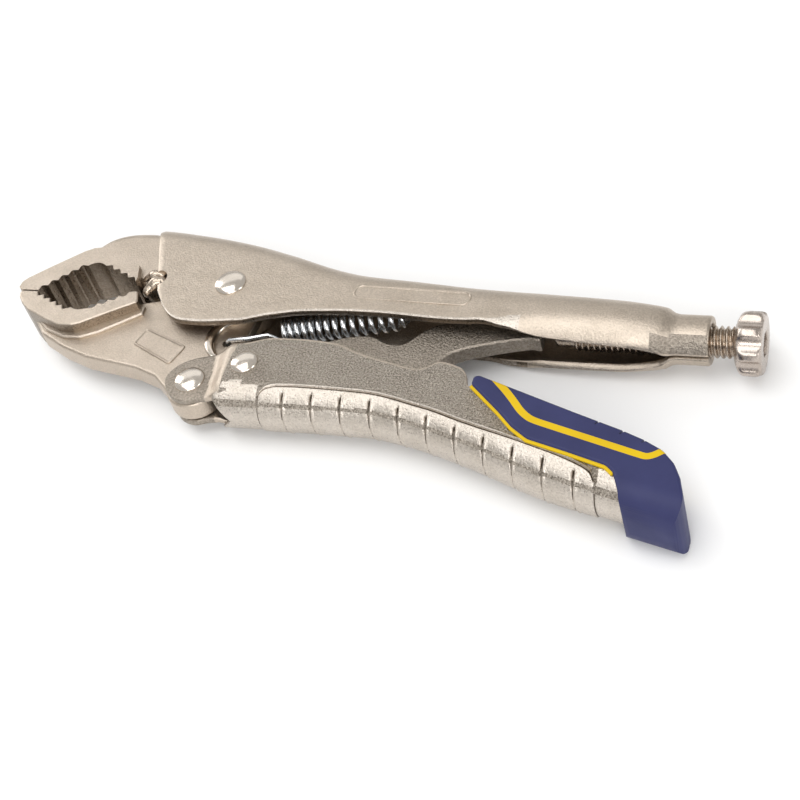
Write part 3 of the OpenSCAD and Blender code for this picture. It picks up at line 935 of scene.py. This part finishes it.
def ear(name, side):
    """Sheet that steps in beside the movable jaw and rounds the handle's pivot."""
    top_line = curved([(-100.6, -12.5), (-104.2, -13.7), (-109.2, -15.4), (-113.5, -16.7),
                       (-116.6, -18.6), (-118.4, -21.2), (-118.7, -23.4)], 0.5)
    low_line = curved([(-100.6, -26), (-103.6, -27.4), (-107, -27.9), (-109.5, -28.4),
                       (-112.4, -29.2), (-115.6, -28.1), (-118, -25.4), (-118.7, -23.4)], 0.5)

    def height(x, y):
        left = np.interp(y, [-28.5, -26.7, -20.3, -15.5], [-107.2, -107.4, -108.2, -109.2])
        right = np.interp(y, [-28.5, -25.2, -19.7, -15.4], [-103.9, -103.9, -104.4, -104.6])
        step = float(ease(x, left, right))
        z = EAR_OUTER + (LOWER_HALF - EAR_OUTER) * step
        if y < lower_centre(x):
            q = y_to_arc(lower_centre(x) - y)
            r = LOWER_HALF - sunk(q)
            z -= (LOWER_HALF - r * math.cos(q / LOWER_HALF)) * float(ease(x, -107.5, -104))
        sink = float(ease(x, -102.4, -101))
        return z + 0.03 - 0.5 * sink

    us = np.concatenate([[0, 0.012, 0.03], np.linspace(0.06, 0.94, 34), [0.97, 0.988, 1]])
    inset = [0.42, 0.14, 0.03] + [0.0] * (len(us) - 6) + [0.03, 0.14, 0.42]
    rings = []
    for a, b in zip(spaced(top_line, 60), spaced(low_line, 60)):
        row = [a * (1 - u) + b * u for u in us]
        outer = [(x, y, height(x, y) - d) for (x, y), d in zip(row, inset)]
        inner = [(x, y, height(x, y) - SHEET + d) for (x, y), d in zip(row, inset)][::-1]
        rings.append([(x, y, z * side) for x, y, z in outer + inner])
    v, f = loop_loft(rings)
    sheet = put(name, v, f, "handle", "nickel_sheet_blasted", NICKEL, 50)
    paint(sheet, DARK_NICKEL, lambda c, n: c[0] < np.interp(c[1], [-28.5, -20.3, -15.5],
                                                     [-107.3, -108.3, -109.3]))
    paint(sheet, BLASTED, lambda c, n: c[0] > LOWER_FRONT)


for side, label in SIDES:
    ear("lower_handle_ear_" + label, side)
slab("lower_handle_stop", [(-58.2, -19.3), (-53.8, -18.9), (-53.7, -17.5), (-58.1, -17.9)], -6.2,
     6.2, "handle", "nickel_sheet_blasted", NICKEL, 0.3, 3)


# ---------------------------------------------------------------- toggle link

toggle = [
    (-104.2, -16.5), (-99, -13.6), (-84.6, -7.2), (-79.5, -5.6), (-75.4, -5.5), (-73.2, -6.6),
    (-70.4, -7.4), (-67.6, -6.9), (-64.2, -3), (-60, -0.4), (-52, 2), (-42, 3), (-39.6, 2.2),
    (-38.4, 0.6), (-38.1, -3.9), (-40.1, -3.8), (-44.4, -4.7), (-51.7, -6.9), (-56.2, -8.9),
    (-58.4, -11.1), (-60.5, -14.6), (-66, -17), (-84, -21), (-98, -23.2), (-102.4, -22.8),
]
outline = curved(toggle + [toggle[0]], 1.1)[:-1]
link_plate = slab("toggle_link_plate", [tuple(p) for p in outline], -2, 2, "toggle", "nickel_link",
                  DARK_NICKEL, 0.45, 3, 0)
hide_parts("toggle_link")
slab("toggle_link_boss", circle(TOGGLE_PIVOT, 4.6, 48), -SHANK_HALF, SHANK_HALF, "toggle",
     "nickel_link", DARK_NICKEL, 0.3, 3, 0)


# ---------------------------------------------------------------- spring


def wire_rings(path, r, sides):
    """Round wire along a path, without twist."""
    p = np.array(path, float)
    rings = []
    normal = np.cross(heading(p, 0), [0.3, 0.2, 1.0])
    for i, at in enumerate(p):
        ahead = heading(p, i)
        normal = normal - ahead * (normal @ ahead)
        normal = normal / np.linalg.norm(normal)
        size = r * (0.6 if i in (0, len(p) - 1) else 1)
        rings.append(ring_round(at, size * normal, size * np.cross(ahead, normal), sides))
    return rings


def spring_path():
    """Front hook, coil that opens towards the rear, and rear hook."""
    front, rear = np.array([-98.6, -4.2, 0]), np.array([-70.8, 2.4, 0])
    length = np.linalg.norm(rear - front)
    along = (rear - front) / length
    side = np.array([-along[1], along[0], 0])
    turns, r = 15, 2.55
    steps = turns * 20
    coil = []
    for k in range(steps + 1):
        t = k / steps
        a = 2 * math.pi * turns * t + math.pi / 2
        x = length * (0.72 * t + 0.28 * t * t)
        turned = math.cos(a) * np.array([0, 0, 1]) - math.sin(a) * side
        coil.append(front + along * x + r * turned)
    hook = [
        (-109.9, -9.1, -1.7), (-109.9, -9.1, 0.9), (-109.7, -9.0, 1.5), (-109.3, -8.85, 1.85),
        (-104.5, -7.9, 1.8), (-100.6, -6.5, 1.7), (-99.4, -6.6, 1.2),
    ]
    tail = [rear + [0.6, -1.2, -0.3], rear + [1.6, 0.4, 0], (-66, 5.6, 0), (-63.4, 6.9, 0),
            (-62.2, 6.4, 0)]
    return hook + coil + tail


verts, faces = loop_loft(wire_rings(spring_path(), 0.55, 10))
spring = put("return_spring_wire", verts, faces, None, "spring_zinc", ZINC, 60,
             replaces=("return_spring",))
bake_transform(spring)


# ---------------------------------------------------------------- screw and knob


def screw():
    """Threaded rod with a true helix."""
    pitch, root, crest = 1.27, 2.75, 3.4
    nose, tail, sides = -35.6, 7.1, 40
    xs = np.concatenate([[nose, nose + 0.02], np.linspace(nose + 0.5, -31.6, 6),
                         np.arange(-31.5, 2.6, pitch / 12), np.linspace(2.8, tail, 8)])
    end_radii = [1.6, 1.9, 2.5]
    rings = []
    for i, x in enumerate(xs):
        live = float(ease(x, -31.6, -30.6) * (1 - ease(x, 2.0, 2.6)))
        ring = []
        for k in range(sides):
            a = 2 * math.pi * k / sides
            u = (x / pitch - a / (2 * math.pi)) % 1
            tooth = min(1, max(0, (0.88 - abs(u - 0.5) * 2) / 0.7))
            r = end_radii[i] if i < 3 else root + (crest - root) * tooth * live
            ring.append((x, SCREW_Y + r * math.cos(a), r * math.sin(a)))
        rings.append(ring)
    put("adjusting_screw_rod", *capped(rings), "screw", "screw_steel", SCREW, 50,
        replaces=("adjusting_screw",))


screw()


def knob():
    """Eight-lobed knob with rounded rims and a hexagonal socket."""
    sides, lobes = 192, 8
    scoop_at, scoop_r, soft = 8.25, 2.4, 0.12
    profile = [
        (2.7, 2.6), (4.0, 2.6), (5.0, 2.9), (5.9, 3.35), (6.4, 3.75), (6.75, 4.2), (6.9, 4.7),
        (6.9, 5.3), (6.9, 6.6), (6.9, 7.2), (6.8, 7.7), (6.5, 8.1), (6.0, 8.38), (5.4, 8.48),
        (4.9, 8.5), (4.0, 8.5),
    ]
    socket = [(2.75, 8.5), (2.55, 8.38), (2.5, 8.2), (2.5, 7.15), (2.2, 7.1)]

    def from_middle(a, count):
        """Angle from the middle of the nearest of count equal sectors."""
        return (a + math.pi / count) % (2 * math.pi / count) - math.pi / count

    def lobed(a, r):
        d = from_middle(a, lobes)
        reach = scoop_r ** 2 - (scoop_at * math.sin(d)) ** 2
        scoop = scoop_at * math.cos(d) - math.sqrt(reach) if reach > 0 else 9.0
        return -soft * math.log(math.exp(-r / soft) + math.exp(-scoop / soft))

    def hexagon(a, flat):
        return flat / math.cos(from_middle(a, 6))

    rings = []
    for shape, rows in ((lobed, profile), (hexagon, socket)):
        for size, x in rows:
            ring = []
            for k in range(sides):
                a = 2 * math.pi * k / sides
                r = shape(a, size)
                ring.append((x, SCREW_Y + r * math.cos(a), r * math.sin(a)))
            rings.append(ring)
    put("screw_knob_lobed", *capped(rings), "knob", "knob_steel", KNOB, 40,
        replaces=("screw_knob",))


knob()


# ---------------------------------------------------------------- grip

GRIP_TOP = [
    (-47.6, -19.7), (-46.4, -19.3), (-35.5, -23.3), (-25, -27.2), (-14.4, -31), (-9.6, -33),
    (-5.6, -35.2), (-2.8, -38.2), (-1.1, -41.5), (0.2, -45.6), (0.2, -48.2), (-0.5, -50.1),
    (-1.9, -51),
]
GRIP_UNDER = [(-10.9, -48.7), (-12.0, -47.4)]
GRIP_LIP = [
    (-12.4, -45.4), (-14, -41.6), (-15.8, -40), (-23.9, -37.5), (-32.7, -35), (-36.6, -32.2),
    (-40.3, -28.5), (-47.6, -21.9),
]


def end_form():
    """Long form with a round underside, along the end of the handle."""
    slope = math.radians(-13.6)
    ahead = np.array([math.cos(slope), math.sin(slope)])
    up = np.array([-ahead[1], ahead[0]])
    half, deep, tall, square = 7.58, 6.8, 40.0, 0.77
    section = [(half, tall)]
    for k in range(41):
        a = math.pi * k / 40
        side = math.copysign(abs(math.cos(a)) ** square, math.cos(a))
        section.append((half * side, deep - deep * abs(math.sin(a)) ** square))
    section.append((-half, tall))
    rings = []
    for run in (-60.0, 12.0):
        foot = np.array(GRIP_TOP[-1]) + ahead * run
        rings.append([(*(foot + up * h), z) for z, h in section])
    return new_object("tool", *capped(rings))


def grip():
    """Moulded cover, with three short notches in its upper edge."""
    points = GRIP_TOP + GRIP_UNDER + GRIP_LIP
    verts, faces = slab_mesh(points[::-1], -7.56, 7.56)
    cover = put("grip_cover_shell", verts, faces, "handle", "grip_blue", BLUE, 40,
                replaces=("grip_cover",))
    along, down = np.array([0.93, -0.37]), np.array([-0.5, -0.87])
    notches = []
    for at in ((-19.3, -29.4), (-14, -31.4), (-9.3, -33.1)):
        a, b = np.array(at) - down * 1.5, np.array(at) + down * 1.1
        outline = [a - along * 0.5, b - along * 0.1, b + along * 0.1, a + along * 0.9]
        notches.append(new_object("tool", *slab_mesh(outline, -12, 12)))
    bevel(cover, 0.95, 5, 0.9)
    combine(cover, "DIFFERENCE", *notches)
    combine(cover, "INTERSECT", end_form())
    smooth(cover, 32)
    flat_faces(cover)
    return settle(cover)


grip_cover = grip()


def drape(name, base, path, width, side):
    """Strip laid on the outer face of another piece, following its rounded edges."""
    tree = BVHTree.FromObject(base, bpy.context.evaluated_depsgraph_get())
    aim = Vector((-0.12, -0.42, -0.9 * side)).normalized()
    offsets = [-0.5, -0.46, -0.3, -0.1, 0.1, 0.3, 0.46, 0.5]
    lifts = [-0.25, 0.014, 0.035, 0.035, 0.035, 0.035, 0.014, -0.25]
    line = curved(path, 0.35)
    rows = []
    for i, at in enumerate(line):
        ahead = heading(line, i)
        across = width * np.array([-ahead[1], ahead[0]])
        row = []
        for offset, lift in zip(offsets, lifts):
            start = Vector(to_model((*(at + across * offset), GRIP_HALF * side))) - aim * 0.02
            place, normal, _, _ = tree.ray_cast(start, aim)
            if place is not None:
                row.append(tuple(drawn(place) + np.array(normal) * lift))
        if len(row) == len(offsets):
            rows.append(row)
    verts = [p for row in rows for p in row]
    put(name, verts, grid_faces(len(rows), len(offsets)), "handle", "grip_yellow", YELLOW, 60)


STRIPE = [
    (-43.6, -19.2), (-42.2, -20.8), (-40, -23), (-37.9, -25.3), (-35.7, -27.9), (-34, -29.4),
    (-32.2, -30.4), (-28, -31.7), (-20.8, -33.8), (-14.3, -35.7), (-9.8, -37), (-8.4, -37.3),
    (-7.3, -37), (-6.2, -36.3), (-4.6, -34.9), (-2.6, -33),
]
LIP_DROP = np.array([-0.27, -0.42])
shown = [tuple(np.array(p) + LIP_DROP * 1.1) for p in GRIP_LIP[1:]]
hidden = [tuple(np.array(p) - LIP_DROP * 3) for p in GRIP_LIP[1:]][::-1]
for side, label in SIDES:
    drape("grip_stripe_" + label, grip_cover, STRIPE, 1.65, side)
for side, label in SIDES:
    low, high = sorted((side * 6.42, side * 7.1))
    edge_piece = slab("grip_edge_" + label, (shown + hidden)[::-1], low, high, "handle",
                      "grip_yellow", YELLOW, 0.22, 3, 0.6)
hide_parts("grip_base")


# ---------------------------------------------------------------- floor, light, camera


def floor():
    """Plain pale floor, in the model's frame."""
    mesh = bpy.data.meshes.new("floor")
    w = 3.0
    mesh.from_pydata([(-w, -w, 0), (w, -w, 0), (w, w, 0), (-w, w, 0)], [], [(0, 1, 2, 3)])
    o = bpy.data.objects.new("floor", mesh)
    scene.collection.objects.link(o)
    s = Shader("floor_pale")
    patches = s.ramp(s.noise(3, 2, 0.5), 0.3, 0.7, 0, 1)
    tone = s.mix(patches, (0.90, 0.90, 0.90), (0.92, 0.92, 0.92))
    s.link(tone, s.bsdf.inputs["Base Color"])
    s.bsdf.inputs["Roughness"].default_value = 0.8
    mesh.materials.append(s.material)


def lamp(name, at, size, energy):
    """Soft rectangular lamp that faces the middle of the model's frame."""
    data = bpy.data.lights.new(name, "AREA")
    data.shape = "RECTANGLE"
    data.size, data.size_y = size
    data.energy = energy
    o = bpy.data.objects.new(name, data)
    o.location = at
    o.rotation_mode = "QUATERNION"
    o.rotation_quaternion = (-Vector(at)).to_track_quat("-Z", "Y")
    scene.collection.objects.link(o)


def camera():
    """Camera that looks down at the object from its front, with the jaws at the left."""
    data = bpy.data.cameras.new("camera")
    data.lens = 74.25
    data.sensor_width = 36
    data.clip_start, data.clip_end = 0.01, 20
    o = bpy.data.objects.new("camera", data)
    right = Vector((0.9344, 0.2736, -0.2281))
    up = Vector((-0.0627, 0.7568, 0.6508))
    back = Vector((0.3506, -0.5938, 0.7243))
    m = Matrix((right, up, back)).transposed().to_4x4()
    m.translation = Vector(to_model((57.4, -228.7, 252.9)))
    o.matrix_world = m
    scene.collection.objects.link(o)
    scene.camera = o


floor()
camera()
lamp("overhead", (-0.2, -0.12, 0.9), (0.9, 0.6), 4.0)
lamp("back", (-0.35, 0.75, 0.6), (0.9, 0.5), 0.7)
lamp("front", (0.25, -0.75, 0.55), (0.8, 0.35), 4.0)
lamp("left", (-0.8, 0.4, 0.3), (0.3, 0.8), 2.2)
lamp("right", (0.85, -0.1, 0.3), (0.3, 0.6), 1.6)

world = bpy.data.worlds.new("studio")
scene.world = world
world.use_nodes = True
world.node_tree.nodes["Background"].inputs["Color"].default_value = (1.0, 0.99, 0.97, 1)
world.node_tree.nodes["Background"].inputs["Strength"].default_value = 0.55
scene.view_settings.view_transform = "Standard"
